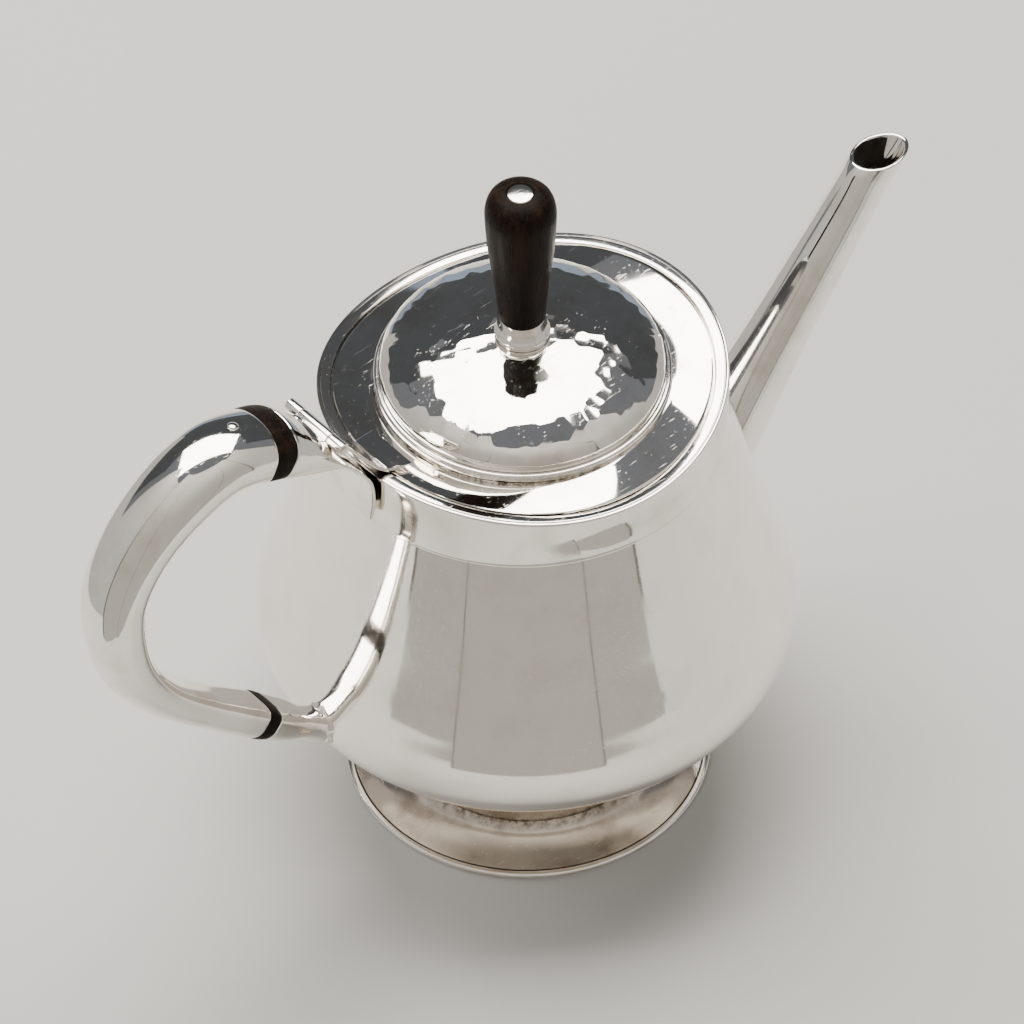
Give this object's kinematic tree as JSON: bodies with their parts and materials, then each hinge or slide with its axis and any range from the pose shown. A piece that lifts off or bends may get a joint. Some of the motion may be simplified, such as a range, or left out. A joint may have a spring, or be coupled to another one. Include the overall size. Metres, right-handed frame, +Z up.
{
  "type": "coffee pot",
  "caption": "Silver coffee pot on a flared foot, with a straight tapered spout, a hinged domed lid with a dark wood knob, and a hollow loop handle between wood insulators.",
  "frame": {"origin": "on the resting plane, under the middle of the pot's box", "axes": "+X along the spout, -X along the handle, +Z up; the pot is the same on both sides of the plane y = 0"},
  "size_m": [0.2656, 0.1356, 0.2003],
  "materials": {
    "polished_silver": "polished sterling silver with fine use scratches",
    "planished_silver": "hammered and polished sterling silver",
    "worn_silver": "lightly tarnished sterling silver",
    "ebony": "waxed dark hardwood, fine grain"
  },
  "bodies": {
    "pot": {"body_shell": "planished_silver", "collar_band": "polished_silver", "rim_bezel": "polished_silver", "neck_ring": "worn_silver", "foot": "worn_silver", "foot_wire": "polished_silver", "spout": "polished_silver", "upper_handle_socket": "polished_silver", "upper_insulator": "ebony", "handle_grip": "polished_silver", "lower_insulator": "ebony", "lower_handle_socket": "polished_silver", "upper_socket_pin": "polished_silver", "upper_grip_pin": "polished_silver", "lower_grip_pin": "polished_silver", "lower_socket_pin": "polished_silver", "hinge_knuckle_left": "polished_silver", "hinge_knuckle_right": "polished_silver", "hinge_pin": "polished_silver"},
    "lid": {"lid_plate": "polished_silver", "lid_locating_ring": "polished_silver", "lid_dome": "planished_silver", "dome_bead": "polished_silver", "lid_hinge_leaf": "polished_silver", "lid_knuckle": "polished_silver", "knob_ferrule": "polished_silver", "knob": "ebony", "knob_rod": "polished_silver", "knob_washer": "polished_silver", "knob_nut": "polished_silver"}
  },
  "joints": [
    {"name": "lid_hinge", "type": "hinge", "parent": "pot", "child": "lid", "pos_m": [-0.05948, 0, 0.162], "axis": [0, -1, 0], "range_deg": [0, 110]}
  ]
}
